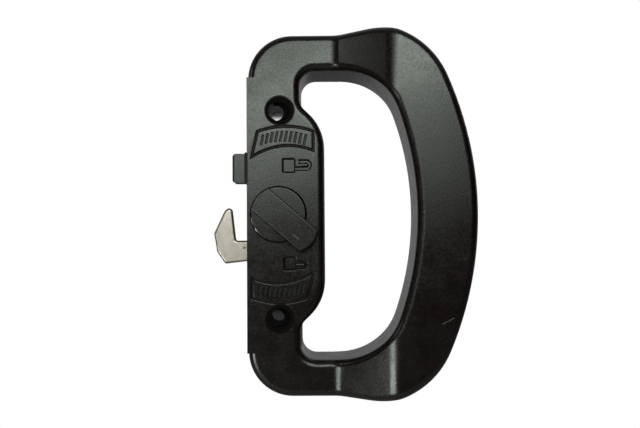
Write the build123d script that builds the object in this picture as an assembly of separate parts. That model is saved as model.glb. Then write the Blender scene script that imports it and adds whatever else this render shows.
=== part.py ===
from build123d import *
import math
import os

os.makedirs("parts", exist_ok=True)

# Door pull handle with thumb-turn and hook latch. Millimetres.
# +Z runs up the handle, +X from the hook side towards the grip, and the front
# faces -Y. The origin is midway between the two fixing holes on the back face.
# Shapes are drawn about the middle of the two round recesses and are set over
# to the fixing holes, which lie beside it, when they are saved.
# Depths below are counted from the back face towards the front.

# Casting outline, seen from the front
hole_spacing = 87.3
half_height = 75.9
flank_x = -13.9
corner_r = 18.6
straight_to_x = 36.85
shoulder_r = 34.2
grip_outer_x = 79.7

# Finger opening
opening_x = 18.6
opening_half_height = 60.8
opening_straight_x = 21.1
opening_shoulder_r = 29.1
grip_inner_x = 55.6
lobe_x = 8.3
lobe_r = 6.5
land_r = 20.5
land_end_z = 27.7
land_angle = 46.5

# Depths of the plate, the ramp and the grip
plate_depth = 23.5
grip_depth = 39.5
grip_back_depth = 15.1
ramp_start_x = 23.5
ramp_end_x = 46.1
profile_from = -40
profile_to = 110
crease_r = 6.5
crest_r = 9.5
back_blend_r = 5.0
edge_r = 3.2
flank_flat_half = 57.8
flank_pad = 0.4

# Walls of the casting
wall = 3.0
side_wall = 2.8
pocket_half_height = 33.8
web_past_pocket = 5.7
boss_r = 9.3
rib_t = 2.2
rib_len = 46
rib_back_gap = 3.0

# Fixing holes
recess_r = 6.35
step_r = 4.25
step_depth = 7.0
step_fit = 0.5
fixing_r = 3.15
fixing_x = -2.1

# Thumb-turn
axis_x = -0.7
axis_z = -0.1
disc_r = 11.45
disc_proud = 1.6
seat_depth = 1.0
seat_gap = 0.25
bar_proud = 5.5
bar_angle = -41.0
bar_half = 5.7
bar_tail = 18.7
bar_tail_r = 12.0
bar_draft = 20.0
bar_lift = 0.4
bar_corner_r = 1.2
bar_edge_r = 1.0
bar_end_gap = 0.15
thrust_t = 0.4
journal_r = 5.0
journal_end_depth = 17.6
bush_wall = 1.5
running_fit = 0.04
square = 6.0
square_fit = 0.03
spindle_end_depth = 7.1

# Hook stack along the spindle
hook_front_depth = 12.1
hook_t = 3.4
hub_collar_r = 6.6
hub_spigot_r = 5.6
hub_front_depth = 17.5
hub_lip_t = 0.6
hub_disc_r = 9.5
sector_r = 12.5
sector_from = -112.0
sector_to = -8.0
turn_range = 78.0
hook_edge_r = 1.1
hook_dimple_x = -16.3
hook_dimple_z = -14.1
hook_dimple_r = 0.55
cone_t = 0.45
cone_h = 1.0
retainer_r = 6.5
retainer_t = 1.2
retainer_screw_r = 1.75
retainer_head_r = 3.4
retainer_head_t = 2.2
retainer_screw_len = 9.0

# Detent and stop
detent_angle = -20.0
detent_at_r = 10.0
detent_boss_r = 3.0
detent_bore_r = 1.9
ball_r = 1.75
ball_gap = 0.05
dimple_depth = 0.45
stop_r = 1.5
stop_at_r = 11.35
stop_gap = 0.15
stop_back_depth = 8.2
slot_gap = 0.6
slot_top_gap = 0.15

# Plunger beside the hook
plunger_z = 19.8
plunger_under_wall = 0.9
plunger_h = 12.4
plunger_t = 8.0
plunger_tip_x = -20.5
plunger_tail_x = -3.5
plunger_travel = 4.8
plunger_fit = 0.1
plunger_chamfer = 0.9
shoulder_h = 14.8
shoulder_t = 2.5
bezel_wall = 0.4
sleeve_wall = 0.25
bezel_proud = 1.3
nick_w = 0.8
coil_bore_r = 2.9
coil_bore_len = 9.4
coil_r = 2.3
coil_wire_r = 0.3
coil_turns = 8
rod_r = 1.2
rod_left_x = -6.5
post_x = 10.9
post_half_h = 3.8

# Back cover
cover_t = 1.5
cover_past_pocket = 5.0
cover_ledge = 1.5
cover_fit = 0.1
cover_screw_r = 1.25
cover_head_r = 2.3
cover_head_t = 1.2
cover_screw_len = 9.0
screw_fit = 0.02
cover_screw_past_pocket = 2.0
cover_screw_from_left = 4.0
cover_screw_from_right = 6.1


# Values worked out from the ones above
hook_back_depth = hook_front_depth - hook_t
flank_in_x = flank_x + wall
pocket_right_x = opening_x - side_wall
pocket_front_depth = plate_depth - wall
plunger_depth = pocket_front_depth - plunger_under_wall - plunger_t / 2
countersink_depth = recess_r - step_r
disc_back_depth = plate_depth - seat_depth + thrust_t + 0.05
disc_front_depth = plate_depth + disc_proud
bar_front_depth = plate_depth + bar_proud
hole_z = hole_spacing / 2
web_end_z = pocket_half_height + web_past_pocket
cover_half_height = pocket_half_height + cover_past_pocket
cover_left = flank_x + cover_ledge
cover_right = opening_x - cover_ledge
cover_screw_z = pocket_half_height + cover_screw_past_pocket
cover_screw_xs = [cover_left + cover_screw_from_left, cover_right - cover_screw_from_right]
cover_screw_at = [(x, s * cover_screw_z) for s in (1, -1) for x in cover_screw_xs]


def rad(a):
    return math.radians(a)


def slab(face, d0, d1):
    # a flat sketch on the back plane made into a solid between two depths
    return Pos(0, -d0, 0) * extrude(Plane.XZ * face, d1 - d0)


def disc(x, z, r, d0, d1):
    return slab(Pos(x, z, 0) * Circle(r), d0, d1)


def block(x0, x1, z0, z1, d0, d1):
    return Pos((x0 + x1) / 2, -(d0 + d1) / 2, (z0 + z1) / 2) * Box(x1 - x0, d1 - d0, z1 - z0)


def two_arcs(x_straight, z_top, r_small, x_out):
    # large end radius whose centre lies on the middle line, tangent to the shoulder
    zc = z_top - r_small
    a = x_out - x_straight
    r_big = (a * a + zc * zc - r_small * r_small) / (2 * (a - r_small))
    cx = x_out - r_big
    t = math.atan2(zc, x_straight - cx)
    meet = (cx + r_big * math.cos(t), r_big * math.sin(t))
    m = (math.pi / 2 + t) / 2
    mid = (x_straight + r_small * math.cos(m), zc + r_small * math.sin(m))
    return mid, meet


def mirrored(p):
    return (p[0], -p[1])


# Flat shapes: outline of the casting and of the finger opening
mid_o, meet_o = two_arcs(straight_to_x, half_height, shoulder_r, grip_outer_x)
top_o = (straight_to_x, half_height)
left_x = flank_x + flank_pad
left_o = (left_x, half_height)
with BuildSketch() as sk_outline:
    with BuildLine():
        Line(left_o, top_o)
        ThreePointArc(top_o, mid_o, meet_o)
        ThreePointArc(meet_o, (grip_outer_x, 0), mirrored(meet_o))
        ThreePointArc(mirrored(meet_o), mirrored(mid_o), mirrored(top_o))
        Line(mirrored(top_o), mirrored(left_o))
        Line(mirrored(left_o), left_o)
    make_face()
    fillet(sk_outline.vertices().filter_by(lambda v: abs(v.X - left_x) < 0.01), corner_r)
outline = sk_outline.sketch

mid_i, meet_i = two_arcs(opening_straight_x, opening_half_height, opening_shoulder_r, grip_inner_x)
top_i = (opening_straight_x, opening_half_height)
turn_z = land_end_z + land_r * math.tan(rad(land_angle) / 2)
run = (opening_x - lobe_x) / math.sin(rad(land_angle))
lobe_z = turn_z + run * math.cos(rad(land_angle))
land_pt = (opening_x, turn_z)
lobe_pt = (lobe_x, lobe_z)
lobe_top = (lobe_x, opening_half_height)
with BuildSketch() as sk_open:
    with BuildLine():
        Line(lobe_top, top_i)
        ThreePointArc(top_i, mid_i, meet_i)
        ThreePointArc(meet_i, (grip_inner_x, 0), mirrored(meet_i))
        ThreePointArc(mirrored(meet_i), mirrored(mid_i), mirrored(top_i))
        Line(mirrored(top_i), mirrored(lobe_top))
        Line(mirrored(lobe_top), mirrored(lobe_pt))
        Line(mirrored(lobe_pt), mirrored(land_pt))
        Line(mirrored(land_pt), land_pt)
        Line(land_pt, lobe_pt)
        Line(lobe_pt, lobe_top)
    make_face()
    vs = sk_open.vertices()
    fillet(vs.filter_by(lambda v: abs(v.X - opening_x) < 0.01), land_r)
    fillet(sk_open.vertices().filter_by(lambda v: abs(v.X - lobe_x) < 0.01), lobe_r)
opening = sk_open.sketch


# Side profile: plate, ramp and grip, front and back
def side_profile(front_in, back_to):
    ang = math.atan2(grip_depth - plate_depth, ramp_end_x - ramp_start_x)
    sx = front_in * math.tan(ang / 2)
    f0 = (ramp_start_x + sx, -(plate_depth - front_in))
    f1 = (ramp_end_x + sx, -(grip_depth - front_in))
    pts = [(profile_from, f0[1]), f0, f1, (profile_to, f1[1])]
    if back_to is None:
        pts = pts + [(profile_to, -grip_back_depth), (ramp_end_x, -grip_back_depth)]
        pts = pts + [(ramp_start_x, 0), (profile_from, 0)]
    else:
        pts = pts + [(profile_to, back_to), (profile_from, back_to)]
    with BuildSketch() as sk:
        with BuildLine():
            Polyline(*pts, close=True)
        make_face()
        fillet(sk.vertices().filter_by(lambda v: abs(v.X - f0[0]) < 0.01 and abs(v.Y - f0[1]) < 0.01),
               crease_r + front_in)
        fillet(sk.vertices().filter_by(lambda v: abs(v.X - f1[0]) < 0.01 and abs(v.Y - f1[1]) < 0.01),
               crest_r - front_in)
        if back_to is None:
            back = sk.vertices().filter_by(
                lambda v: (abs(v.X - ramp_end_x) < 0.01 and abs(v.Y + grip_back_depth) < 0.01)
                or (abs(v.X - ramp_start_x) < 0.01 and abs(v.Y) < 0.01))
            fillet(back, back_blend_r)
    return Pos(0, 0, -half_height - 5) * extrude(sk.sketch, 2 * half_height + 10)


# Casting: outline through the side profile, front edges rounded all round
ring = outline - opening
body = slab(ring, 0, grip_depth + 2) & side_profile(0, None)
outline_wire = (Plane.XZ * outline).wire()
opening_wire = (Plane.XZ * opening).wire()


def is_front_rim(e):
    m = e.position_at(0.5)
    a = e.position_at(0)
    b = e.position_at(1)
    if abs(a.X - b.X) < 0.01 and abs(a.Z - b.Z) < 0.01:
        return False
    back = 0.0
    if m.X > ramp_start_x:
        k = min(1.0, (m.X - ramp_start_x) / (ramp_end_x - ramp_start_x))
        back = k * grip_back_depth
    if -m.Y < back + 12:
        return False
    flat = Vector(m.X, 0, m.Z)
    near = min(outline_wire.distance_to(Vertex(*flat)), opening_wire.distance_to(Vertex(*flat)))
    return near < 0.05


rim = body.edges().filter_by(is_front_rim)
body = fillet(rim, edge_r)
# the hook side has a flat pad with a sharp front edge between the two corners
pad_x = left_x + edge_r + 0.2
body = body + block(flank_x, pad_x, -flank_flat_half, flank_flat_half, 0, plate_depth)

# Hollow back of the arms and grip, with bosses, a web and ribs left standing
inner_line = offset(outline, -wall)
outer_open = offset(opening, wall)
hollow = inner_line - outer_open
hollow = hollow - Rectangle(2 * (opening_x + wall), 2 * web_end_z)
for s in (1, -1):
    hollow = hollow - Pos(0, s * hole_z) * Circle(boss_r)
core = slab(hollow, -5, grip_depth) & side_profile(wall, 5)
rib_lines = [(24.0, 60.0, 0), (24.0, -60.0, 0), (52.0, 60.0, 40), (52.0, -60.0, -40), (66.0, 0.0, 90)]
ribs = None
for x, z, a in rib_lines:
    ribs = (Pos(x, z) * Rot(0, 0, a) * Rectangle(rib_t, rib_len)) + (ribs if ribs else [])
rib_solid = slab(ribs & hollow, rib_back_gap, grip_depth)
rib_solid = rib_solid & (Pos(0, -rib_back_gap, 0) * side_profile(0, None))
body = body - (core - rib_solid)

# Latch pocket and the rebate for the back cover
pocket_face = Pos((flank_in_x + pocket_right_x) / 2, 0) * RectangleRounded(
    pocket_right_x - flank_in_x, 2 * pocket_half_height, 2.0)
pocket_face = pocket_face - offset(opening, side_wall)
body = body - slab(pocket_face, -1, pocket_front_depth)


def cover_outline(grow):
    w = cover_right - cover_left + 2 * grow
    f = Pos((cover_left + cover_right) / 2, 0) * RectangleRounded(w, 2 * (cover_half_height + grow), 1.5)
    return f - offset(opening, cover_ledge - grow)


body = body - slab(cover_outline(cover_fit), -1, cover_t)
for x, z in cover_screw_at:
    body = body - disc(x, z, cover_screw_r + screw_fit, 0, cover_screw_len + 1.0)

# Fixing holes with their recesses
for s in (1, -1):
    z = s * hole_z
    body = body - disc(fixing_x, z, fixing_r, -1, plate_depth + 1)
    body = body - disc(0, z, step_r, plate_depth - step_depth, plate_depth + 1)
    # 90 degree countersink, cut a little past the face so that its rim is clean
    sink = Cone(step_r, recess_r + step_fit, countersink_depth + step_fit,
                align=(Align.CENTER, Align.CENTER, Align.MIN))
    body = body - Pos(0, countersink_depth - plate_depth, z) * Rot(90, 0, 0) * sink

# Seat and bore of the thumb-turn
body = body - disc(axis_x, axis_z, disc_r + seat_gap, plate_depth - seat_depth, plate_depth + 1)
bush_r = journal_r + bush_wall
body = body - disc(axis_x, axis_z, bush_r, pocket_front_depth - 1, plate_depth)

# Detent boss, and the lug that holds the guide rod
det_x = axis_x + detent_at_r * math.cos(rad(detent_angle))
det_z = axis_z + detent_at_r * math.sin(rad(detent_angle))
boss_back = hook_front_depth + 1.4
spring_seat_depth = pocket_front_depth - 0.3
body = body + disc(det_x, det_z, detent_boss_r, boss_back, pocket_front_depth + 0.5)
body = body - disc(det_x, det_z, detent_bore_r, boss_back - 1, spring_seat_depth)
post = block(post_x, pocket_right_x + 0.5, plunger_z - post_half_h, plunger_z + post_half_h,
             plunger_depth - post_half_h, pocket_front_depth + 0.5)
body = body + post
rod_cut = Pos(post_x - 1, -plunger_depth, plunger_z) * Rot(0, 90, 0) * Cylinder(
    rod_r, 5.0, align=(Align.CENTER, Align.CENTER, Align.MIN))
body = body - rod_cut

# Stop pin bore, hook slot and plunger window in the flank
stop_half = math.degrees(math.asin((stop_r + stop_gap) / stop_at_r))
stop_angle = sector_to + turn_range + stop_half
stop_x = axis_x + stop_at_r * math.cos(rad(stop_angle))
stop_z = axis_z + stop_at_r * math.sin(rad(stop_angle))
body = body - disc(stop_x, stop_z, stop_r, pocket_front_depth - 1, pocket_front_depth + 1.5)
shank_top_z = -10.9
slot_bottom_z = -30.3
body = body - block(flank_x - 1, flank_in_x + 0.2, slot_bottom_z, shank_top_z + slot_top_gap,
                    hook_back_depth - slot_gap, hook_front_depth + slot_gap)
win_h = plunger_h + 2 * (plunger_fit + sleeve_wall)
win_t = plunger_t + 2 * (plunger_fit + sleeve_wall)
body = body - block(flank_x - 1, flank_in_x + 0.2, plunger_z - win_h / 2, plunger_z + win_h / 2,
                    plunger_depth - win_t / 2, plunger_depth + win_t / 2)

# Thumb-turn: disc, raised bar and journal in one casting
end_zone = Circle(disc_r - bar_end_gap) + Pos(bar_tail - bar_tail_r, 0) * Circle(bar_tail_r)
bar_face = Rectangle(4 * bar_tail, 2 * bar_half) & end_zone
bar_face = Pos(axis_x, axis_z) * Rot(0, 0, bar_angle) * bar_face
bar = extrude(Plane.XZ * bar_face, bar_front_depth - plate_depth - bar_lift, taper=bar_draft)
bar = Pos(0, -plate_depth - bar_lift, 0) * bar
far_corners = bar.edges().filter_by(lambda e: abs(e.position_at(0).Y - e.position_at(1).Y) > 1).sort_by(Axis.X)[-2:]
bar = fillet(far_corners, bar_corner_r)
bar_top = bar.faces().sort_by(Axis.Y)[0]
bar = fillet(bar_top.edges(), bar_edge_r)
knob_disc = disc(axis_x, axis_z, disc_r, disc_back_depth, disc_front_depth)
knob_rim = knob_disc.faces().sort_by(Axis.Y)[0].edges()
knob_disc = fillet(knob_rim, 0.4)
thumb = knob_disc + bar + disc(axis_x, axis_z, journal_r, journal_end_depth, disc_back_depth + 0.5)
socket = Pos(axis_x, axis_z) * Rectangle(square + 2 * square_fit, square + 2 * square_fit)
thumb = thumb - slab(socket, journal_end_depth - 1, disc_front_depth + 1.5)

# Spindle, bush and thrust washer
spindle_face = Pos(axis_x, axis_z) * Rectangle(square, square)
spindle = slab(spindle_face, spindle_end_depth, disc_front_depth + 1.4)
spindle = chamfer(spindle.faces().sort_by(Axis.Y)[-1].edges(), 0.4)
spindle = spindle - disc(axis_x, axis_z, retainer_screw_r + screw_fit, spindle_end_depth - 1,
                         spindle_end_depth + retainer_screw_len)
bush = disc(axis_x, axis_z, bush_r, pocket_front_depth, plate_depth - seat_depth)
bush = bush - disc(axis_x, axis_z, journal_r + running_fit, 0, plate_depth)
thrust = disc(axis_x, axis_z, disc_r - 0.6, plate_depth - seat_depth, plate_depth - seat_depth + thrust_t)
thrust = thrust - disc(axis_x, axis_z, journal_r + 0.3, 0, plate_depth)

# Hook: flat steel plate, beak outside the flank, round hub inside
# Each point has the radius of its corner, 0 where it stays sharp
beak = [
    (-23.1, 3.6, 1.4), (-21.6, 2.4, 1.4), (-20.1, shank_top_z, 1.0), (-8.6, shank_top_z, 0),
    (-6.0, -6.0, 0), (-1.0, -6.0, 0), (-1.0, -12.4, 0), (-5.7, -15.2, 0), (-15.2, -19.85, 0),
    (-24.7, -20.9, 1.2), (-28.3, -15.6, 2.0), (-28.75, -12.4, 6.0), (-29.6, -7.8, 1.2),
    (-25.0, 2.0, 3.0)]
with BuildSketch() as sk_hook:
    with BuildLine():
        Polyline(*[(x, z) for x, z, r in beak], close=True)
    make_face()


hook_face = sk_hook.sketch
for x, z, r in beak:
    if r > 0:
        pick = hook_face.vertices().sort_by_distance((x, z, 0))[0]
        hook_face = fillet(pick, r)
sector_mid = rad((sector_from + sector_to) / 2)
a0 = rad(sector_from)
a1 = rad(sector_to)
with BuildSketch() as sk_sector:
    with BuildLine():
        Line((0, 0), (sector_r * math.cos(a0), sector_r * math.sin(a0)))
        ThreePointArc((sector_r * math.cos(a0), sector_r * math.sin(a0)),
                      (sector_r * math.cos(sector_mid), sector_r * math.sin(sector_mid)),
                      (sector_r * math.cos(a1), sector_r * math.sin(a1)))
        Line((sector_r * math.cos(a1), sector_r * math.sin(a1)), (0, 0))
    make_face()
hook_face = hook_face + Pos(axis_x, axis_z) * Circle(hub_disc_r)
hook_face = hook_face + Pos(axis_x, axis_z) * sk_sector.sketch
hook_face = hook_face - Pos(axis_x, axis_z) * Circle(hub_spigot_r)
hook = slab(hook_face, hook_back_depth, hook_front_depth)


def beak_rim(e):
    m = e.position_at(0.5)
    flat = abs(m.Y + hook_front_depth) < 0.01 or abs(m.Y + hook_back_depth) < 0.01
    return flat and m.X < -16.5


hook = fillet(hook.edges().filter_by(beak_rim), hook_edge_r)
for a in (detent_angle, detent_angle - turn_range):
    dx = axis_x + detent_at_r * math.cos(rad(a))
    dz = axis_z + detent_at_r * math.sin(rad(a))
    hook = hook - Pos(dx, -hook_front_depth - ball_r + dimple_depth, dz) * Sphere(ball_r)
# small tooling dimple on the shank, just outside the flank
hook = hook - Pos(hook_dimple_x, -hook_front_depth, hook_dimple_z) * Sphere(hook_dimple_r)

# Hub: collar in front of the hook, riveted lip behind it
hub = disc(axis_x, axis_z, hub_collar_r, hook_front_depth, hub_front_depth)
hub = hub + disc(axis_x, axis_z, hub_spigot_r, hook_back_depth - hub_lip_t, hook_front_depth + 0.5)
hub = hub + disc(axis_x, axis_z, hub_collar_r, hook_back_depth - hub_lip_t, hook_back_depth)
hub_hole = Pos(axis_x, axis_z) * Rectangle(square + 2 * square_fit, square + 2 * square_fit)
hub = hub - slab(hub_hole, 0, plate_depth)

# Conical spring washer, retaining washer and screw at the end of the spindle
hub_back_depth = hook_back_depth - hub_lip_t
with BuildSketch(Plane.XY) as sk_cone:
    with BuildLine():
        Polyline((4.4, -hub_back_depth), (6.4, -hub_back_depth + cone_h - cone_t),
                 (6.4, -hub_back_depth + cone_h), (4.4, -hub_back_depth + cone_t), close=True)
    make_face()
cone = Pos(axis_x, 0, axis_z) * revolve(sk_cone.sketch, Axis.Y)
retainer = disc(axis_x, axis_z, retainer_r, spindle_end_depth - retainer_t, spindle_end_depth)
retainer = retainer - disc(axis_x, axis_z, retainer_screw_r + 0.15, 0, plate_depth)
head_front = spindle_end_depth - retainer_t
head_back = head_front - retainer_head_t
r_head = disc(axis_x, axis_z, retainer_head_r, head_back, head_front)
r_head = fillet(r_head.faces().sort_by(Axis.Y)[-1].edges(), 0.9)
cross_a = block(axis_x - 1.9, axis_x + 1.9, axis_z - 0.35, axis_z + 0.35, head_back - 1, head_back + 1.3)
cross_b = block(axis_x - 0.35, axis_x + 0.35, axis_z - 1.9, axis_z + 1.9, head_back - 1, head_back + 1.3)
r_screw = r_head + disc(axis_x, axis_z, retainer_screw_r, head_front, head_front + retainer_screw_len - 1)
r_screw = r_screw - cross_a - cross_b

# Detent ball and spring, stop pin
ball_depth = hook_front_depth + ball_gap + ball_r
ball = Pos(det_x, -ball_depth, det_z) * Sphere(ball_r)


def coil(r, wire_r, length, turns):
    path = Helix(pitch=length / turns, height=length, radius=r)
    plane = Plane(origin=path @ 0, z_dir=path % 0)
    return sweep(plane * RegularPolygon(wire_r, 6), path, is_frenet=True)


det_len = spring_seat_depth - ball_depth - ball_r - 0.5
det_coil = coil(1.3, 0.22, det_len, 4)
det_spring = Pos(det_x, -(ball_depth + ball_r + 0.25), det_z) * Rot(90, 0, 0) * det_coil
stop_pin = disc(stop_x, stop_z, stop_r, stop_back_depth, pocket_front_depth + 1.45)
stop_pin = chamfer(stop_pin.faces().sort_by(Axis.Y)[-1].edges(), 0.3)

# Plunger, its bezel, spring and guide rod
plunger = block(plunger_tip_x, plunger_tail_x, plunger_z - plunger_h / 2, plunger_z + plunger_h / 2,
                plunger_depth - plunger_t / 2, plunger_depth + plunger_t / 2)
tip_face = plunger.faces().sort_by(Axis.X)[0]
plunger = chamfer(tip_face.edges(), plunger_chamfer)
shoulder_x = flank_in_x + 0.15
plunger = plunger + block(shoulder_x, shoulder_x + shoulder_t, plunger_z - shoulder_h / 2,
                          plunger_z + shoulder_h / 2, plunger_depth - plunger_t / 2,
                          plunger_depth + plunger_t / 2)
bore = Pos(plunger_tail_x + 1, -plunger_depth, plunger_z) * Rot(0, 90, 0) * Cylinder(
    coil_bore_r, coil_bore_len + 1, align=(Align.CENTER, Align.CENTER, Align.MAX))
plunger = plunger - bore

in_h = plunger_h + 2 * plunger_fit
in_t = plunger_t + 2 * plunger_fit
rim_h = in_h + 2 * bezel_wall
rim_t = in_t + 2 * bezel_wall
bezel = block(flank_x - bezel_proud, flank_x, plunger_z - rim_h / 2, plunger_z + rim_h / 2,
              plunger_depth - rim_t / 2, plunger_depth + rim_t / 2)
bezel = chamfer(bezel.faces().sort_by(Axis.X)[0].edges(), 0.25)
bezel = bezel + block(flank_x, flank_in_x, plunger_z - win_h / 2, plunger_z + win_h / 2,
                      plunger_depth - win_t / 2, plunger_depth + win_t / 2)
bezel = bezel - block(flank_x - 5, flank_in_x + 1, plunger_z - in_h / 2, plunger_z + in_h / 2,
                      plunger_depth - in_t / 2, plunger_depth + in_t / 2)
# shallow nick in the plate's edge in front of the bezel
body = body - block(flank_x - 1, flank_x + nick_w, plunger_z - rim_h / 2, plunger_z + rim_h / 2,
                    plunger_depth + rim_t / 2, plate_depth + 1)

coil_left = plunger_tail_x - coil_bore_len + coil_wire_r + 0.1
coil_right = post_x - coil_wire_r - 0.1
p_coil = coil(coil_r, coil_wire_r, coil_right - coil_left, coil_turns)
p_spring = Pos(coil_left, -plunger_depth, plunger_z) * Rot(0, 90, 0) * p_coil
rod = Pos(rod_left_x, -plunger_depth, plunger_z) * Rot(0, 90, 0) * Cylinder(
    rod_r, post_x + 3.9 - rod_left_x, align=(Align.CENTER, Align.CENTER, Align.MIN))
rod = chamfer(rod.faces().sort_by(Axis.X)[0].edges(), 0.3)

# Back cover and its four countersunk screws
cover = slab(cover_outline(0), 0, cover_t)
screws = []
for x, z in cover_screw_at:
    cut = Pos(x, 0, z) * Rot(90, 0, 0) * Cone(cover_head_r, cover_screw_r + 0.1, cover_head_t,
                                           align=(Align.CENTER, Align.CENTER, Align.MIN))
    cover = cover - cut - disc(x, z, cover_screw_r + 0.1, -1, cover_t + 1)
    head = Pos(x, -0.05, z) * Rot(90, 0, 0) * Cone(cover_head_r - 0.1, cover_screw_r, cover_head_t - 0.1,
                                                  align=(Align.CENTER, Align.CENTER, Align.MIN))
    one = head + disc(x, z, cover_screw_r, 1.0, cover_screw_len)
    one = one - block(x - 1.3, x + 1.3, z - 0.25, z + 0.25, -1, 0.9)
    one = one - block(x - 0.25, x + 0.25, z - 1.3, z + 1.3, -1, 0.9)
    screws.append(one.solid())

nodes = {
    "handle_body": body,
    "thumb_turn": thumb,
    "thrust_washer": thrust,
    "spindle_bush": bush,
    "spindle": spindle,
    "hook": hook,
    "hook_hub": hub,
    "spring_washer": cone,
    "retaining_washer": retainer,
    "retaining_screw": r_screw,
    "detent_ball": ball,
    "detent_spring": det_spring,
    "stop_pin": stop_pin,
    "plunger": plunger,
    "plunger_bezel": bezel,
    "plunger_spring": p_spring,
    "guide_rod": rod,
    "cover_plate": cover,
    "cover_screws": Compound(children=screws),
}
for name, shape in nodes.items():
    solids = [Pos(-fixing_x, 0, 0) * s for s in shape.solids()]
    whole = solids[0] if len(solids) == 1 else Compound(children=solids)
    export_step(whole, "parts/" + name + ".step")
    print(name, len(solids), round(sum(s.volume for s in solids), 1))
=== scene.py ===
import math

import bmesh
import bpy
from mathutils import Matrix, Vector


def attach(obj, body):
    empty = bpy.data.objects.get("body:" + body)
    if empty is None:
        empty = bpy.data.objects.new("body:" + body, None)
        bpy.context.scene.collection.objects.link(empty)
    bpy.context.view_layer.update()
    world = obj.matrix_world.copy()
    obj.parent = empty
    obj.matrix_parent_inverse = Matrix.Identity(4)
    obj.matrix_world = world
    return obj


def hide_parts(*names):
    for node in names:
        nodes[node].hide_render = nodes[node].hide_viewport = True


# Door pull handle with a hook latch, in metres, in the frame of its solids:
# +Z up the handle, +X towards the grip, the front faces -Y. Sizes in the
# sections are in millimetres and are divided by 1000 where a mesh is made.
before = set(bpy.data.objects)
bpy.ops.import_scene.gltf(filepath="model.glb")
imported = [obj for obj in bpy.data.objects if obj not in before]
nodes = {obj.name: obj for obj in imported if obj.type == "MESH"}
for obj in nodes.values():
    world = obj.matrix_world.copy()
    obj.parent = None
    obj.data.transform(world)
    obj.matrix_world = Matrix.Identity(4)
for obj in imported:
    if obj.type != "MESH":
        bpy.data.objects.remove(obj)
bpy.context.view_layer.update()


# Casting: plate, two ramped arms and the curved grip, one zinc die casting.
# The lock pictures and two arched fields are sunk in its front face, and the
# whole is powder coated in satin black.
mm_per_metre = 1000.0


class Value:
    """A number on its way through a node tree: sums on it become Math nodes."""

    def __init__(self, recipe, socket):
        self.recipe = recipe
        self.socket = socket

    def math(self, operation, *others):
        values = {0: self}
        for at, other in enumerate(others):
            values[at + 1] = other
        return self.recipe.node("ShaderNodeMath", {"operation": operation}, values)

    def __add__(self, other):
        return self.math("ADD", other)

    def __radd__(self, other):
        return self.math("ADD", other)

    def __sub__(self, other):
        return self.math("SUBTRACT", other)

    def __rsub__(self, other):
        return self.recipe.node("ShaderNodeMath", {"operation": "SUBTRACT"}, {0: other, 1: self})

    def __mul__(self, other):
        return self.math("MULTIPLY", other)

    def __rmul__(self, other):
        return self.math("MULTIPLY", other)

    def __truediv__(self, other):
        return self.math("DIVIDE", other)

    def __abs__(self):
        return self.math("ABSOLUTE")

    def over(self, low, high):
        """0 below low, 1 above high, smooth between."""
        return self.recipe.node("ShaderNodeMapRange", {"interpolation_type": "SMOOTHSTEP"},
                                {"Value": self, "From Min": low, "From Max": high})

    def under(self, low, high):
        """1 below low, 0 above high, smooth between."""
        return 1 - self.over(low, high)


class Recipe:
    """Builds one node tree: a finish, or the studio's air."""

    def __init__(self, tree):
        self.tree = tree
        self.places = None

    def node(self, kind, settings=None, values=None, out=0):
        made = self.tree.nodes.new(kind)
        for name, setting in (settings or {}).items():
            setattr(made, name, setting)
        for name, value in (values or {}).items():
            if isinstance(value, Value):
                self.tree.links.new(value.socket, made.inputs[name])
            else:
                made.inputs[name].default_value = value
        return Value(self, made.outputs[out])

    def mm(self):
        """Place on the piece, in millimetres."""
        if self.places is None:
            spot = self.node("ShaderNodeTexCoord", out="Object")
            self.places = self.node("ShaderNodeVectorMath", {"operation": "SCALE"},
                                    {0: spot, "Scale": mm_per_metre})
        return self.places

    def axis(self, letter, vector=None):
        return self.node("ShaderNodeSeparateXYZ", {}, {0: vector or self.mm()}, out=letter)

    def grain(self, per_mm, detail=2.0, rough=0.5, stretch=(1, 1, 1), shift=0.0):
        """Noise with so many grains to the millimetre, 0 to 1."""
        place = self.node("ShaderNodeMapping", {}, {"Vector": self.mm(), "Location": (shift, shift, shift),
                                                   "Scale": [per_mm * s for s in stretch]})
        return self.node("ShaderNodeTexNoise", {}, {"Vector": place, "Scale": 1.0, "Detail": detail,
                                                    "Roughness": rough})

    def blend(self, amount, first, second):
        """Colour from first to second."""
        mixer = self.tree.nodes.new("ShaderNodeMix")
        mixer.data_type = "RGBA"
        # a Mix node's colours are its inputs 6 and 7 and its output 2, counted from 0
        for slot, value in zip((mixer.inputs[0], mixer.inputs[6], mixer.inputs[7]), (amount, first, second)):
            if isinstance(value, Value):
                self.tree.links.new(value.socket, slot)
            else:
                slot.default_value = value
        return Value(self, mixer.outputs[2])

    def near_line(self, start, end):
        """Millimetres from the straight line between two points of the piece.
        Depth counts for little, as a scratch follows a curved face."""
        depth_share = 0.08
        shares = Vector((1, depth_share, 1))
        step = (Vector(end) - Vector(start)) * shares
        away = self.node("ShaderNodeVectorMath", {"operation": "SUBTRACT"}, {0: self.mm(), 1: start})
        away = self.node("ShaderNodeVectorMath", {"operation": "MULTIPLY"}, {0: away, 1: shares})
        along = self.node("ShaderNodeVectorMath", {"operation": "DOT_PRODUCT"},
                          {0: away, 1: step / step.length_squared}, out="Value")
        along = self.node("ShaderNodeClamp", {}, {0: along})
        foot = self.node("ShaderNodeVectorMath", {"operation": "SCALE"}, {0: tuple(step), "Scale": along})
        return self.node("ShaderNodeVectorMath", {"operation": "DISTANCE"}, {0: away, 1: foot}, out="Value")


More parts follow.
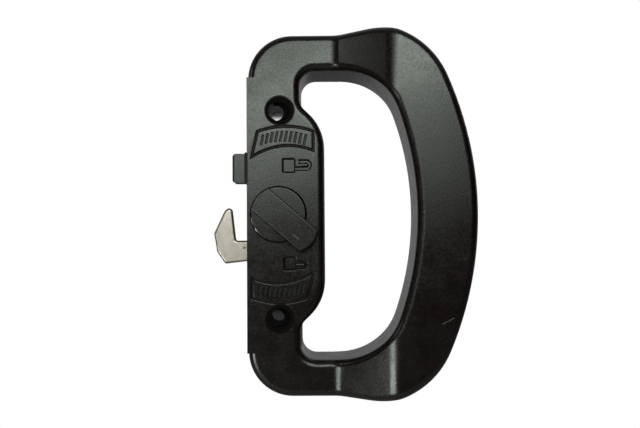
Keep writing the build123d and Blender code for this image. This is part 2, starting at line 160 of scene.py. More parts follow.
class Finish(Recipe):
    """A surface finish with one shader."""

    def __init__(self, name, **plain):
        self.material = bpy.data.materials.new(name)
        self.material.use_nodes = True
        super().__init__(self.material.node_tree)
        self.shader = self.tree.nodes["Principled BSDF"]
        self.set(**plain)

    def set(self, **values):
        for name, value in values.items():
            slot = self.shader.inputs[name.replace("_", " ")]
            if isinstance(value, Value):
                self.tree.links.new(value.socket, slot)
            else:
                slot.default_value = value

    def bump(self, height_mm):
        """Raises the surface by a height that is given in millimetres."""
        raised = self.node("ShaderNodeBump", {}, {"Height": height_mm, "Distance": 0.001, "Strength": 1.0})
        self.set(Normal=raised)

    def wear(self, piece):
        piece.data.materials.clear()
        piece.data.materials.append(self.material)


face = 23.5  # depth of the plate's front, counted from the back
sink_x, sink_z, sink_r, hole_r = 2.1, 43.65, 6.35, 3.15  # screw recesses, the through holes at X 0
turn_x, turn_z, turn_r, turn_face = 1.4, -0.1, 11.45, 25.1  # thumb-turn and the depth of its disc's front
sunk_left, sunk_right, sunk_high, fields_from = -11.0, 16.9, 37.6, 24.0  # where the face has sunk work
coat_tint = (0.89, 1.0, 0.90, 1)


def reach(across, up):
    """How far a place is, from its steps across and up."""
    return (across * across + up * up).math("SQRT")


def powder_coat(name, marks=(), walls=0.0):
    """Satin black coat with a fine orange peel. Marks are scratches and chips:
    start, end, half width in mm, and how bare the metal is there."""
    coat = Finish(name, **{"Specular IOR Level": 0.4, "IOR": 1.5, "Specular Tint": coat_tint})
    x, y, z = coat.axis("X"), coat.axis("Y"), coat.axis("Z")
    peel = coat.grain(1.3, 2.0, 0.55)
    fine = coat.grain(5.5, 2.0, 0.6, shift=7.0)
    mottle = coat.grain(0.9, 3.0, 0.65, shift=19.0)
    cloud = coat.grain(0.11, 4.0, 0.62, shift=31.0)
    black = coat.blend(cloud.over(0.35, 0.7), (0.0040, 0.0018, 0.0018, 1), (0.0052, 0.0030, 0.0029, 1))
    black = coat.blend(fine.over(0.62, 0.75) * 0.35, black, (0.05, 0.048, 0.046, 1))
    # painted shade deep in the screw recesses, where the coat is also thin, rough and dull
    up = abs(z) - sink_z
    painted_shade = reach(x - sink_x, up).under(sink_r - 0.3, sink_r - 0.1)
    painted_shade = painted_shade * reach(x, up).over(hole_r, hole_r + 0.15) * y.over(0.3 - face, 0.6 - face)
    # painted shade in the gap round the thumb-turn and on steep walls, which are also duller
    from_turn = reach(x - turn_x, z - turn_z)
    gap_shade = from_turn.over(turn_r - 0.12, turn_r) * from_turn.under(turn_r + 0.45, turn_r + 0.6)
    gap_shade = gap_shade * y.over(-turn_face - 0.1, -turn_face + 0.1)
    facing = abs(coat.axis("Y", coat.node("ShaderNodeTexCoord", out="Normal")))
    painted_shade = painted_shade.math("MAXIMUM", gap_shade).math("MAXIMUM", facing.under(0.55, 0.95) * walls)
    # and painted shade in what is sunk in the face: on its walls, and in the grooves of the two arched
    # fields
    sunk = abs(z).under(sunk_high, sunk_high + 0.2)
    sunk = sunk * x.over(sunk_left - 0.2, sunk_left) * x.under(sunk_right, sunk_right + 0.1)
    sunk = sunk * y.over(0.1 - face, 0.4 - face) * y.under(1.2 - face, 1.3 - face)
    groove = 0.32 * abs(z).over(fields_from - 0.2, fields_from)
    painted_shade = painted_shade.math("MAXIMUM", sunk * groove.math("MAXIMUM", 0.8 * facing.under(0.35, 0.85)))
    # where the shade is painted the coat is nearly black and metallic, which takes the gloss off
    black = coat.blend(painted_shade, black, (0.0025, 0.0012, 0.0012, 1))
    rough = 0.26 + 0.20 * (cloud - 0.5) + 0.22 * (mottle - 0.5) + 0.06 * (fine - 0.5) + 0.75 * painted_shade
    height = 0.022 * peel + 0.004 * fine
    metal = 0.6 * painted_shade
    for first, last, half, how in marks:
        ragged = coat.near_line(first, last) + (coat.grain(2.2, 2.0, 0.6, shift=3.0) - 0.5) * half * 1.6
        spot = ragged.under(half * 0.55, half) * how
        metal = metal.math("MAXIMUM", 0.6 * spot)
        black = coat.blend(spot, black, (0.36, 0.35, 0.32, 1))
        rough = rough - 0.08 * spot
        height = height - 0.03 * spot
    coat.set(Metallic=metal, Roughness=rough, **{"Base Color": black})
    coat.bump(height)
    return coat


lock_depth = 1.0
field_depth = 0.6
# low and high corner of each lock's body
lock_bodies = [((3.1, 17.35), (8.55, 23.4)), ((3.5, -23.5), (8.7, -17.7))]
# outer end, upper and lower leg heights, half stroke, where each leg starts
shackles = [
    {"tip": 15.45, "up": 21.95, "low": 19.05, "half": 0.85, "up_from": 9.9, "low_from": 8.0},
    {"tip": 13.6, "up": -20.05, "low": -22.35, "half": 0.65, "up_from": 8.0, "low_from": 8.0}]
bend_steps = 12
field_top = {"left": (-7.3, 34.8), "right": (16.1, 34.8), "rise": 2.1}
field_foot = {"left": (-9.7, 24.2), "right": (16.1, 26.6), "rise": 3.3}
field_line = 0.5
rib_count, rib_pitch, rib_width, rib_height = 10, 2.0, 1.7, 5.2
rib_depth, rib_draft, rib_rise, rib_lean = 0.7, 0.5, 1.5, 12
rib_mid_x, rib_mid_z = 3.7, 31.2


def closed_form(rings):
    """Closed form through rings of points in millimetres, each with as many."""
    form = bmesh.new()
    loops = [[form.verts.new((x / 1000, y / 1000, z / 1000)) for x, y, z in ring] for ring in rings]
    for upper, lower in zip(loops, loops[1:]):
        for i in range(len(upper)):
            j = (i + 1) % len(upper)
            form.faces.new((upper[i], upper[j], lower[j], lower[i]))
    form.faces.new(loops[0])
    form.faces.new(loops[-1])
    return form


# the rounded edge of what is sunk: the width it adds, and its depth below the face
shoulder = [(0.32, -0.5), (0.32, 0.0), (0.16, 0.025), (0.04, 0.08), (-0.06, 0.19)]
corner_steps = 4


def sunk_pocket(low, high, depth, radius=0.6, draft=0.6):
    """Block that cuts a pocket with rounded corners and sloping walls."""
    rings = []
    for wider, deep in shoulder + [(-draft, depth)]:
        y = deep - face
        ring = []
        corners = [(high[0] - radius, high[1] - radius), (low[0] + radius, high[1] - radius),
                   (low[0] + radius, low[1] + radius), (high[0] - radius, low[1] + radius)]
        for quarter, (x, z) in enumerate(corners):
            for step in range(corner_steps + 1):
                a = math.radians(90 * (quarter + step / corner_steps))
                ring.append((x + (radius + wider) * math.cos(a), y, z + (radius + wider) * math.sin(a)))
        rings.append(ring)
    return closed_form(rings)


def round_cut(x, z, profile, sides=96):
    """Round cutter: radius and place along Y of each ring."""
    turns = [2 * math.pi * i / sides for i in range(sides)]
    return closed_form([[(x + r * math.cos(a), y, z + r * math.sin(a)) for a in turns] for r, y in profile])


def sunk_line(path, half, depth, closed, draft=0.45):
    """Closed bar that cuts a groove with sloping walls along a path in the face."""
    form = bmesh.new()
    last = len(path) - 1
    slope = [(half + wider, deep - face) for wider, deep in shoulder + [(-draft, depth)]]
    section = [(-across, y) for across, y in slope] + slope[::-1]
    rings = []
    for i, (x, z) in enumerate(path):
        here = Vector((x, z))
        back = Vector(path[i - 1]) if i or closed else None
        ahead = Vector(path[(i + 1) % len(path)]) if i < last or closed else None
        way_in = (here - back).normalized() if back is not None else (ahead - here).normalized()
        way_out = (ahead - here).normalized() if ahead is not None else way_in
        way = (way_in + way_out).normalized()
        side = Vector((-way.y, way.x))
        stretch = 1 / max(0.3, side.dot(Vector((-way_in.y, way_in.x))))
        ring = []
        for across, y in section:
            # the floor of a groove is drawn in at its two ends
            pull = 0.0
            if not closed and i in (0, last):
                pull = max(0.0, half - abs(across)) * 0.8 * (1 if i == 0 else -1)
            spot = here + side * across * stretch + way * pull
            ring.append(form.verts.new((spot.x / 1000, y / 1000, spot.y / 1000)))
        rings.append(ring)
    pairs = list(zip(rings, rings[1:])) + ([(rings[-1], rings[0])] if closed else [])
    for first, second in pairs:
        for i in range(len(section)):
            j = (i + 1) % len(section)
            form.faces.new((first[i], first[j], second[j], second[i]))
    if not closed:
        form.faces.new(rings[0])
        form.faces.new(rings[-1])
    return form


def solid_piece(name, form):
    """Makes a mesh object from a closed form, faces outwards."""
    bmesh.ops.recalc_face_normals(form, faces=form.faces)
    mesh = bpy.data.meshes.new(name)
    form.to_mesh(mesh)
    form.free()
    made = bpy.data.objects.new(name, mesh)
    bpy.context.collection.objects.link(made)
    return made


def arch_points(left, right, rise, steps=16):
    """Points of a shallow arch between two points of the face."""
    points = []
    for i in range(steps + 1):
        x, z = Vector(left).lerp(Vector(right), i / steps)
        points.append((x, z + rise * (1 - (2 * i / steps - 1) ** 2)))
    return points


def rib_row_tree():
    """Geometry Nodes: a row of leaning bars that follows a shallow arch."""
    tree = bpy.data.node_groups.new("rib_row", "GeometryNodeTree")
    sizes = {"Count": rib_count, "Pitch": rib_pitch / 1000, "Width": rib_width / 1000,
             "Height": rib_height / 1000, "Depth": rib_depth / 1000, "Draft": rib_draft / 1000,
             "Lean": 0.0, "Rise": 0.0, "Middle X": 0.0, "Middle Y": 0.0, "Middle Z": 0.0}
    for label, value in sizes.items():
        kind = "NodeSocketInt" if label == "Count" else "NodeSocketFloat"
        tree.interface.new_socket(label, in_out="INPUT", socket_type=kind).default_value = value
    tree.interface.new_socket("Metal", in_out="INPUT", socket_type="NodeSocketMaterial")
    tree.interface.new_socket("Geometry", in_out="OUTPUT", socket_type="NodeSocketGeometry")
    make = Recipe(tree)
    sizes_in = tree.nodes.new("NodeGroupInput")
    size = {s.name: Value(make, s) for s in sizes_in.outputs}
    # a block whose deep side is drawn in, so the bar's walls slope as a casting's do
    extent = make.node("ShaderNodeCombineXYZ", {},
                       {0: size["Width"], 1: size["Depth"] * 2, 2: size["Height"]})
    block = make.node("GeometryNodeMeshCube", {}, {"Size": extent})
    spot = make.node("GeometryNodeInputPosition")
    pull = size["Draft"] * make.axis("Y", spot).math("GREATER_THAN", 0.0)
    drawn_in = make.node("ShaderNodeCombineXYZ", {}, {0: 0 - make.axis("X", spot).math("SIGN") * pull,
                                                     2: 0 - make.axis("Z", spot).math("SIGN") * pull})
    bar = make.node("GeometryNodeSetPosition", {}, {"Geometry": block, "Offset": drawn_in})
    lean = make.node("ShaderNodeCombineXYZ", {}, {1: size["Lean"]})
    bar = make.node("GeometryNodeTransform", {}, {"Geometry": bar, "Rotation": lean})
    half_row = (size["Count"] - 1) * size["Pitch"] / 2
    first = make.node("ShaderNodeCombineXYZ", {}, {0: 0 - half_row})
    step = make.node("ShaderNodeCombineXYZ", {}, {0: size["Pitch"]})
    row = make.node("GeometryNodeMeshLine", {},
                    {"Count": size["Count"], "Start Location": first, "Offset": step})
    across = make.axis("X", spot) / half_row
    lift = size["Rise"] * (1 - across * across)
    middle = make.node("ShaderNodeCombineXYZ", {},
                       {0: size["Middle X"], 1: size["Middle Y"], 2: size["Middle Z"] + lift})
    arched = make.node("GeometryNodeSetPosition", {}, {"Geometry": row, "Offset": middle})
    bars = make.node("GeometryNodeInstanceOnPoints", {}, {"Points": arched, "Instance": bar})
    whole = make.node("GeometryNodeRealizeInstances", {}, {"Geometry": bars})
    painted = make.node("GeometryNodeSetMaterial", {}, {"Geometry": whole, "Material": size["Metal"]})
    result = tree.nodes.new("NodeGroupOutput")
    tree.links.new(painted.socket, result.inputs[0])
    return tree


def grow(name, tree, material, start_mesh=None, **sizes):
    """Runs a Geometry Nodes tree on a new object and keeps the plain mesh."""
    made = bpy.data.objects.new(name, start_mesh or bpy.data.meshes.new(name))
    bpy.context.collection.objects.link(made)
    tool = made.modifiers.new("shape", "NODES")
    tool.node_group = tree
    for socket in tree.interface.items_tree:
        if socket.in_out == "INPUT" and socket.name in sizes:
            tool[socket.identifier] = sizes[socket.name]
        elif socket.in_out == "INPUT" and socket.name == "Metal":
            tool[socket.identifier] = material
    settle(made)
    return made


def settle(piece):
    """Keeps the shape that the modifiers give, and removes them."""
    bpy.context.view_layer.update()
    seen = piece.evaluated_get(bpy.context.evaluated_depsgraph_get())
    mesh = bpy.data.meshes.new_from_object(seen)
    piece.modifiers.clear()
    piece.data = mesh


def smooth(piece, angle=28):
    """Smooth shading that keeps edges sharper than the angle."""
    piece.data.shade_smooth()
    piece.data.set_sharp_from_angle(angle=math.radians(angle))
    even = piece.modifiers.new("even", "WEIGHTED_NORMAL")
    even.keep_sharp = True
    even.weight = 60
    settle(piece)


def merged_copy(name, node):
    """A copy of a solid's mesh whose doubled points are merged."""
    mesh = nodes[node].data.copy()
    mesh.attributes.remove(mesh.attributes["custom_normal"])
    form = bmesh.new()
    form.from_mesh(mesh)
    bmesh.ops.remove_doubles(form, verts=form.verts, dist=1e-6)
    form.to_mesh(mesh)
    form.free()
    made = bpy.data.objects.new(name, mesh)
    bpy.context.collection.objects.link(made)
    return made


def combine(piece, operation, others):
    """Cuts the others out of a piece, or joins them to it, and deletes them."""
    for other in others:
        step = piece.modifiers.new("step", "BOOLEAN")
        step.operation, step.solver, step.object = operation, "EXACT", other
    settle(piece)
    for other in others:
        bpy.data.objects.remove(other)


casting_coat = powder_coat("casting_coat", [
    ((66.8, -39.5, -44.1), (71.4, -38.9, -41.7), 0.11, 0.40),
    ((75.4, -38.6, -19.1), (76.9, -38.2, -17.1), 0.11, 0.30)])
casting = merged_copy("casting", "handle_body")

ribs = rib_row_tree()
cutters = []
rim = [(sink_r + 0.10, -face - 0.4), (sink_r + 0.10, -face), (sink_r - 0.08, -face + 0.12)]
for way in (1, -1):
    cutters.append(solid_piece("rim_cut", round_cut(sink_x, way * sink_z, rim)))
for low, high in lock_bodies:
    cutters.append(solid_piece("lock_body_cut", sunk_pocket(low, high, lock_depth)))
field_outline = arch_points(**field_top) + arch_points(**field_foot)[::-1]
field_mid_x = (field_top["right"][0] + field_foot["left"][0]) / 2
for way in (1, -1):
    # the lower field is the upper one turned half round
    outline = [(field_mid_x + way * (x - field_mid_x), z * way) for x, z in field_outline]
    frame_line = sunk_line(outline, field_line, field_depth, True, draft=0.4)
    cutters.append(solid_piece("field_line_cut", frame_line))
    rib_x = field_mid_x + way * (rib_mid_x - field_mid_x)
    rib_place = {"Middle X": rib_x / 1000, "Middle Y": -face / 1000, "Middle Z": way * rib_mid_z / 1000}
    cutters.append(grow("rib_cut", ribs, casting_coat.material, Rise=way * rib_rise / 1000,
                        Lean=math.radians(rib_lean), **rib_place))
for lock in shackles:
    arc_r = (lock["up"] - lock["low"]) / 2
    arc_x, arc_z = lock["tip"] - lock["half"] - arc_r, (lock["up"] + lock["low"]) / 2
    bend = [(lock["up_from"], lock["up"])]
    for step in range(bend_steps + 1):
        a = math.radians(90 - 180 * step / bend_steps)
        bend.append((arc_x + arc_r * math.cos(a), arc_z + arc_r * math.sin(a)))
    bend.append((lock["low_from"], lock["low"]))
    cutters.append(solid_piece("shackle_cut", sunk_line(bend, lock["half"], lock_depth, False)))
combine(casting, "DIFFERENCE", cutters)
smooth(casting)
casting_coat.wear(casting)
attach(casting, "handle")
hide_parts("handle_body")


# Spindle bush and thrust washer: moulded in natural nylon, pressed into the
# seat behind the thumb-turn so that metal doesn't rub on metal.
nylon = Finish("nylon", **{"Subsurface Weight": 0.08, "Subsurface Scale": 0.001})
flow = nylon.grain(0.35, 3.0, 0.6, stretch=(1, 3, 1))
cream = nylon.blend(flow, (0.70, 0.66, 0.56, 1), (0.82, 0.79, 0.70, 1))
nylon.set(Roughness=0.42 + 0.2 * flow, **{"Base Color": cream})
nylon.bump(0.006 * nylon.grain(3.0, 2.0))
for name in ("spindle_bush", "thrust_washer"):
    nylon.wear(nodes[name])


# Thumb-turn: a second small zinc casting, a round disc with a raised lever
# bar, coated as the handle is. Its rim is chipped on the hook side. The bar's
# walls are steeper here than in the solid.
def rim_point(angle, past=0.0):
    """Place on the disc's rim, at an angle and so far past it."""
    a = math.radians(angle)
    return (turn_x + (turn_r + past) * math.cos(a), -turn_face, turn_z + (turn_r + past) * math.sin(a))


# the thumb-turn's coat has painted shade on its steep walls, those of the disc and the lever bar
turn_coat = powder_coat("turn_coat", [
    (rim_point(186), rim_point(201), 0.20, 0.9), (rim_point(212, -0.1), rim_point(219, -0.1), 0.26, 0.9),
    (rim_point(168), rim_point(174), 0.14, 0.6), ((7.6, -29.0, -8.5), (10.4, -29.0, -10.6), 0.09, 0.35)],
    walls=0.9)

# the lever bar: steep walls and a narrow round edge, its far end on an arc
bar_angle, bar_half, bar_base, bar_top = -41.0, 5.73, 23.92, 29.03
near_arc_r, far_arc_r, far_arc_at, far_corner = 11.33, 12.03, 6.7, 1.3
arc_steps, far_corner_steps = 12, 6


def bar_ring(inset, depth):
    """Outline of the lever bar, drawn in by an inset, at one depth."""
    half, near_r, far_r = bar_half - inset, near_arc_r - inset, far_arc_r - inset
    near_a = math.degrees(math.asin(half / near_r))
    corner_r = max(far_corner - inset, 0.2)
    # the far corners are rounded where the side meets the arc
    corner_v = half - corner_r
    corner_u = far_arc_at + math.sqrt((far_r - corner_r) ** 2 - corner_v ** 2)
    far_a = math.degrees(math.atan2(corner_v, corner_u - far_arc_at))
    spots = []
    for i in range(arc_steps + 1):
        a = math.radians(180 - near_a + 2 * near_a * i / arc_steps)
        spots.append((near_r * math.cos(a), near_r * math.sin(a)))
    for i in range(far_corner_steps + 1):
        a = math.radians(-90 + (90 - far_a) * i / far_corner_steps)
        spots.append((corner_u + corner_r * math.cos(a), -corner_v + corner_r * math.sin(a)))
    for i in range(1, arc_steps):
        a = math.radians(-far_a + 2 * far_a * i / arc_steps)
        spots.append((far_arc_at + far_r * math.cos(a), far_r * math.sin(a)))
    for i in range(far_corner_steps + 1):
        a = math.radians(far_a + (90 - far_a) * i / far_corner_steps)
        spots.append((corner_u + corner_r * math.cos(a), corner_v + corner_r * math.sin(a)))
    turned = Matrix.Rotation(math.radians(bar_angle), 2)
    ring = [turned @ Vector(spot) for spot in spots]
    return [(turn_x + spot.x, -depth, turn_z + spot.y) for spot in ring]


bar_profile = [(0.0, bar_base), (0.12, bar_top - 0.5), (0.17, bar_top - 0.3), (0.29, bar_top - 0.13),
               (0.46, bar_top - 0.03), (0.66, bar_top)]
lever = solid_piece("lever", closed_form([bar_ring(inset, depth) for inset, depth in bar_profile]))
turn_piece = merged_copy("turn_piece", "thumb_turn")
combine(turn_piece, "UNION", [lever])
smooth(turn_piece)
turn_coat.wear(turn_piece)
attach(turn_piece, "turn")
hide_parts("thumb_turn")


# Square spindle, hook hub, retaining washer and screw, detent ball, stop pin
# and guide rod: turned or stamped in steel and bright zinc plated.
bright = Finish("bright_steel", Metallic=1.0, IOR=2.0)
lines = bright.grain(6.0, 2.0, 0.6, stretch=(0.15, 1, 1))
stain = bright.grain(0.4, 3.0, 0.6, shift=5.0)
zinc = bright.blend(stain.over(0.3, 0.7), (0.60, 0.60, 0.58, 1), (0.72, 0.72, 0.71, 1))
bright.set(Roughness=0.26 + 0.16 * lines + 0.1 * stain, **{"Base Color": zinc})
bright.bump(0.004 * lines)
for name in ("spindle", "hook_hub", "retaining_washer", "retaining_screw",
             "detent_ball", "stop_pin", "guide_rod"):
    bright.wear(nodes[name])


# Spring washer, detent spring and plunger spring: hard spring steel, wound
# from drawn wire or pressed, left plain with an oily blue-grey skin.
spring_steel = Finish("spring_steel", Metallic=1.0)
drawn = spring_steel.grain(7.0, 2.0, 0.6, stretch=(1, 0.3, 1))
skin = spring_steel.grain(0.8, 3.0, 0.55, shift=11.0)
oiled = spring_steel.blend(skin.over(0.3, 0.7), (0.30, 0.31, 0.33, 1), (0.46, 0.46, 0.45, 1))
spring_steel.set(Roughness=0.28 + 0.2 * drawn, **{"Base Color": oiled})
spring_steel.bump(0.003 * drawn)
for name in ("spring_washer", "detent_spring", "plunger_spring"):
    spring_steel.wear(nodes[name])


# Hook: blanked from thick steel plate with rounded edges and plated. The
# plating is a pale warm grey, yellower at the edges, with fine rub marks.
# Painted shade makes its rounded edges dark brown and its sides near black,
# and a painted highlight makes it lighter towards its upper tip.
plating = Finish("plated_hook", Metallic=0.72, **{"Specular IOR Level": 0.6})
facing = abs(plating.axis("Y", plating.node("ShaderNodeTexCoord", out="Normal")))
edge_shade = facing.under(0.80, 0.985)
rub = plating.grain(4.0, 3.0, 0.6, stretch=(1.0, 1.0, 0.12))
bloom = plating.grain(0.25, 3.0, 0.6, shift=17.0)
pits = plating.grain(1.6, 1.0, 0.5, shift=3.0).over(0.70, 0.76)
tone = plating.blend(bloom.over(0.3, 0.7), (0.34, 0.32, 0.265, 1), (0.40, 0.38, 0.33, 1))
# painted highlight: the hook is lighter towards its upper tip
tone = plating.blend(plating.axis("Z").over(-6.0, 3.0) * 0.6, tone, (0.52, 0.49, 0.43, 1))
# painted shade: dark yellow-brown on the rounded edges
tone = plating.blend(edge_shade * 0.9, tone, (0.12, 0.085, 0.04, 1))
# painted shade: near black on the sides of the plate
tone = plating.blend(facing.under(0.2, 0.6), tone, (0.07, 0.055, 0.04, 1))
tone = plating.blend(pits * 0.35, tone, (0.25, 0.22, 0.17, 1))
plating.set(Roughness=0.40 + 0.14 * (rub - 0.5) + 0.10 * (bloom - 0.5), **{"Base Color": tone})
plating.bump(0.006 * rub + 0.01 * bloom - 0.006 * pits)
plating.wear(nodes["hook"])


# Plunger and its bezel: moulded in black plastic with a fine matt skin, the
# plunger sprung so that it can be pressed into the flank.
plastic = Finish("black_plastic", **{"Specular IOR Level": 0.4, "Specular Tint": coat_tint})
skin = plastic.grain(4.5, 2.0, 0.6)
wide = plastic.grain(0.3, 3.0, 0.6, shift=2.0)
dark = plastic.blend(wide, (0.005, 0.0045, 0.004, 1), (0.009, 0.008, 0.0075, 1))
chip = plastic.near_line((-18.4, -19.4, 26.9), (-17.7, -19.5, 25.6)) + (plastic.grain(2.0) - 0.5) * 0.6
dark = plastic.blend(chip.under(0.30, 0.55) * 0.8, dark, (0.16, 0.10, 0.07, 1))
# dull with dust where the bezel begins, and on the sides
bezel_from = -13.0
dull = plastic.axis("X").over(bezel_from - 0.4, bezel_from)
sides = abs(plastic.axis("Y", plastic.node("ShaderNodeTexCoord", out="Normal"))).under(0.55, 0.95)
dull = dull.math("MAXIMUM", 0.8 * sides)
plastic.set(Roughness=0.29 + 0.2 * (skin - 0.5) + 0.1 * (wide - 0.5) + 0.6 * dull, **{"Base Color": dark})
plastic.bump(0.008 * skin)
for name in ("plunger", "plunger_bezel"):
    plastic.wear(nodes[name])


# Cover: zinc plated sheet steel let into the back, which keeps the latch
# parts in. Four countersunk cross-head screws hold it to the casting.
sheet = Finish("cover_sheet", Metallic=0.9)
flakes = sheet.node("ShaderNodeTexVoronoi", {"feature": "F1"}, {"Vector": sheet.mm(), "Scale": 0.22},
                    out="Color")
spangle = sheet.axis("X", flakes)
rolled = sheet.grain(3.0, 3.0, 0.6, stretch=(1, 1, 0.06))
galvanised = sheet.blend(spangle, (0.50, 0.51, 0.50, 1), (0.66, 0.66, 0.64, 1))
sheet.set(Roughness=0.34 + 0.14 * spangle + 0.12 * (rolled - 0.5), **{"Base Color": galvanised})
sheet.bump(0.004 * rolled)
sheet.wear(nodes["cover_plate"])

screw_spots = [(-6.3, 35.8), (13.1, 35.8), (-6.3, -35.8), (13.1, -35.8)]
head_r, head_deep, shank_r, screw_end = 2.2, 1.1, 1.25, 9.0
cross_long, cross_wide, cross_deep, cross_turn = 2.3, 0.55, 0.8, 20
head_under, head_sides = 0.05, 40  # how far the head is let in, and its sides


def cover_screw_tree():
    """Geometry Nodes: one countersunk cross-head screw at each point given."""
    tree = bpy.data.node_groups.new("cover_screw", "GeometryNodeTree")
    tree.interface.new_socket("Geometry", in_out="INPUT", socket_type="NodeSocketGeometry")
    sizes = {"Head Radius": head_r, "Head Depth": head_deep, "Shank Radius": shank_r,
             "Length": screw_end - head_under, "Overlap": head_under,
             "Cross Length": cross_long, "Cross Width": cross_wide, "Cross Depth": cross_deep}
    for label, value in sizes.items():
        socket = tree.interface.new_socket(label, in_out="INPUT", socket_type="NodeSocketFloat")
        socket.default_value = value / 1000
    tree.interface.new_socket("Metal", in_out="INPUT", socket_type="NodeSocketMaterial")
    tree.interface.new_socket("Geometry", in_out="OUTPUT", socket_type="NodeSocketGeometry")
    make = Recipe(tree)
    sizes_in = tree.nodes.new("NodeGroupInput")
    size = {s.name: Value(make, s) for s in sizes_in.outputs}
    head = make.node("GeometryNodeMeshCone", {},
                     {"Vertices": head_sides, "Radius Top": size["Head Radius"],
                      "Radius Bottom": size["Shank Radius"], "Depth": size["Head Depth"]})
    down = make.node("ShaderNodeCombineXYZ", {}, {2: 0 - size["Head Depth"]})
    head = make.node("GeometryNodeTransform", {}, {"Geometry": head, "Translation": down})
    shank_long = size["Length"] - size["Head Depth"]
    shank = make.node("GeometryNodeMeshCylinder", {},
                      {"Vertices": head_sides, "Radius": size["Shank Radius"], "Depth": shank_long})
    lower = make.node("ShaderNodeCombineXYZ", {},
                      {2: 0 - size["Head Depth"] - shank_long / 2 + size["Overlap"]})
    shank = make.node("GeometryNodeTransform", {}, {"Geometry": shank, "Translation": lower})
    cuts = []
    for first, second in (("Cross Length", "Cross Width"), ("Cross Width", "Cross Length")):
        slot = make.node("ShaderNodeCombineXYZ", {},
                         {0: size[first], 1: size[second], 2: size["Cross Depth"] * 2})
        cuts.append(make.node("GeometryNodeMeshCube", {}, {"Size": slot}))
    cut = tree.nodes.new("GeometryNodeMeshBoolean")
    cut.operation, cut.solver = "DIFFERENCE", "EXACT"
    tree.links.new(head.socket, cut.inputs[0])
    for block in cuts:
        tree.links.new(block.socket, cut.inputs[1])
    both = tree.nodes.new("GeometryNodeJoinGeometry")
    tree.links.new(cut.outputs[0], both.inputs[0])
    tree.links.new(shank.socket, both.inputs[0])
    screws = make.node("GeometryNodeInstanceOnPoints", {},
                       {"Points": size["Geometry"], "Instance": Value(make, both.outputs[0]),
                        "Rotation": (math.radians(-90), math.radians(cross_turn), 0)})
    whole = make.node("GeometryNodeRealizeInstances", {}, {"Geometry": screws})
    painted = make.node("GeometryNodeSetMaterial", {}, {"Geometry": whole, "Material": size["Metal"]})
    result = tree.nodes.new("NodeGroupOutput")
    tree.links.new(painted.socket, result.inputs[0])
    return tree


points = bpy.data.meshes.new("screw_points")
points.from_pydata([(x / 1000, -head_under / 1000, z / 1000) for x, z in screw_spots], [], [])
screws = grow("cover_screw_set", cover_screw_tree(), bright.material, points)
smooth(screws, 35)
bright.wear(screws)
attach(screws, "handle")
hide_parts("cover_screws")


# Studio: a pale floor below the handle, white air behind it, and six soft
# boxes in front: four above, one low at the left and a weak one at the side.
# That is how the handle is lit in its picture.
floor_half, floor_z = 1.6, -0.22
floor_form = bmesh.new()
bmesh.ops.create_grid(floor_form, x_segments=1, y_segments=1, size=floor_half)
bmesh.ops.translate(floor_form, verts=floor_form.verts, vec=(0, 0, floor_z))
floor = solid_piece("floor", floor_form)
pale = Finish("pale_floor", Roughness=0.7, **{"Base Color": (0.55, 0.55, 0.55, 1)})
# to the camera the floor is nearly white, and quite white far from the handle
seen = pale.node("ShaderNodeLightPath", out="Is Camera Ray")
white = pale.node("ShaderNodeEmission", {}, {"Strength": 1.0})
far = pale.node("ShaderNodeVectorMath", {"operation": "LENGTH"}, {0: pale.mm()}, out="Value").over(240, 330)
matt = Value(pale, pale.shader.outputs[0])
over_white = pale.node("ShaderNodeMixShader", {}, {0: seen * (0.8 + 0.2 * far), 1: matt, 2: white})
pale.tree.links.new(over_white.socket, pale.tree.nodes["Material Output"].inputs[0])
pale.wear(floor)

# glowing slips behind the two fixing holes, seen from the front alone, with painted
# light and shade: the upper one is painted as in the light, and each has the grey
# of its shaded top and of its lower part
slip_half, slip_gap = 0.008, 0.0004
upright = Matrix.Rotation(math.radians(90), 4, "X")
for name, z, low, high in (("upper_slip", sink_z, 0.05, 1.0), ("lower_slip", -sink_z, 0.008, 0.028)):
    slip_form = bmesh.new()
    bmesh.ops.create_grid(slip_form, x_segments=1, y_segments=1, size=slip_half, matrix=upright)
    bmesh.ops.translate(slip_form, verts=slip_form.verts, vec=(0, slip_gap, z / 1000))
    slip = solid_piece(name, slip_form)
    slip_glow = Finish(name)
    kinds = slip_glow.node("ShaderNodeLightPath")
    rays = {s.name: Value(slip_glow, s) for s in kinds.socket.node.outputs}
    back = slip_glow.node("ShaderNodeNewGeometry", out="Backfacing")
    seen = (rays["Is Camera Ray"] + rays["Is Glossy Ray"]).math("MINIMUM", 1.0) * (1 - back)
    # painted shade: grey towards the top of each slip, and in what the slips show to reflections
    slip_shade = slip_glow.axis("Z").over(z - 1.2, z + 2.2).math("MAXIMUM", 0.93 * rays["Is Glossy Ray"])
    tone = slip_glow.blend(slip_shade, (high, high, high, 1), (low, low, low, 1))
    glow = slip_glow.node("ShaderNodeEmission", {}, {"Color": tone, "Strength": 1.0})
    clear = slip_glow.node("ShaderNodeBsdfTransparent")
    shown = slip_glow.node("ShaderNodeMixShader", {}, {0: seen, 1: clear, 2: glow})
    slip_glow.tree.links.new(shown.socket, slip_glow.tree.nodes["Material Output"].inputs[0])
    slip_glow.wear(slip)

world = bpy.data.worlds.new("studio_air")
bpy.context.scene.world = world
world.use_nodes = True
air = Recipe(world.node_tree)
for old in list(world.node_tree.nodes):
    world.node_tree.nodes.remove(old)
way = air.node("ShaderNodeTexCoord", out="Generated")
up = air.axis("Z", way)
behind = air.axis("Y", way)
kinds = air.node("ShaderNodeLightPath")
rays = {s.name: Value(air, s) for s in kinds.socket.node.outputs}
soft = air.blend(up.over(0.2, 1.0), (0.0, 0.0, 0.0, 1), (0.22, 0.22, 0.24, 1))
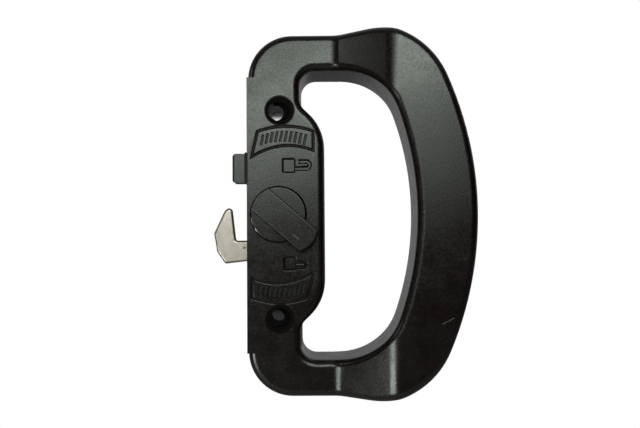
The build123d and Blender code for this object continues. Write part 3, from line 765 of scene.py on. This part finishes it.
# white behind the handle, also where its flanks mirror it
mirrored = rays["Is Glossy Ray"] * behind.over(0.0, 0.35) * 0.35
seen = rays["Is Camera Ray"] + rays["Is Transmission Ray"] + mirrored
shown = air.blend(seen.math("MINIMUM", 1.0), soft, (1, 1, 1, 1))
light = air.node("ShaderNodeBackground", {}, {"Color": shown, "Strength": 1.0})
ends = world.node_tree.nodes.new("ShaderNodeOutputWorld")
world.node_tree.links.new(light.socket, ends.inputs["Surface"])
bpy.context.scene.view_settings.view_transform = "Standard"

# name, degrees turned from straight in front, degrees above, width, height, watts
soft_boxes = [
    ("high_box", 15, 28, 0.12, 0.12, 0.38), ("upper_box", -1, 21, 0.12, 0.10, 0.19),
    ("mid_box", -14, 13, 0.12, 0.12, 0.23), ("front_box", 9, 15, 0.20, 0.15, 0.22),
    ("low_box", -40, -20, 0.19, 0.09, 0.72), ("side_box", -75, 26, 0.11, 0.09, 0.08)]
plate_middle, lamp_away = Vector((0.0014, -0.0235, 0.0)), 0.40
for name, turned, raised, wide_m, tall_m, watts in soft_boxes:
    turned, raised = math.radians(turned), math.radians(raised)
    level = math.cos(raised)
    lamp_way = Vector((math.sin(turned) * level, -math.cos(turned) * level, math.sin(raised)))
    lamp_data = bpy.data.lights.new(name, "AREA")
    lamp_data.shape = "RECTANGLE"
    lamp_data.size, lamp_data.size_y, lamp_data.energy = wide_m, tall_m, watts
    lamp = bpy.data.objects.new(name, lamp_data)
    lamp.location = plate_middle + lamp_way * lamp_away
    lamp.rotation_euler = (-lamp_way).to_track_quat("-Z", "Y").to_euler()
    bpy.context.collection.objects.link(lamp)

# Camera: fitted to the picture's own perspective, in millimetres, its
# distance counted from the plate's front face.
eye_x, eye_z, eye_out = 21.75, -10.77, 291.96
pitch, yaw, roll = math.radians(-2.105), math.radians(-0.582), math.radians(0.412)
to_view = Matrix.Rotation(roll, 3, "Z") @ Matrix.Rotation(pitch, 3, "X") @ Matrix.Rotation(yaw, 3, "Y")
axes = Matrix(((1, 0, 0), (0, 0, -1), (0, 1, 0)))
camera_data = bpy.data.cameras.new("camera")
camera_data.sensor_width = 36
focal_px, picture_px = 700, 640
camera_data.lens = focal_px / picture_px * camera_data.sensor_width
camera = bpy.data.objects.new("camera", camera_data)
camera_place = Vector((eye_x / 1000, -(face + eye_out) / 1000, eye_z / 1000))
camera.matrix_world = Matrix.Translation(camera_place) @ (axes @ to_view.transposed()).to_4x4()
bpy.context.collection.objects.link(camera)
bpy.context.scene.camera = camera
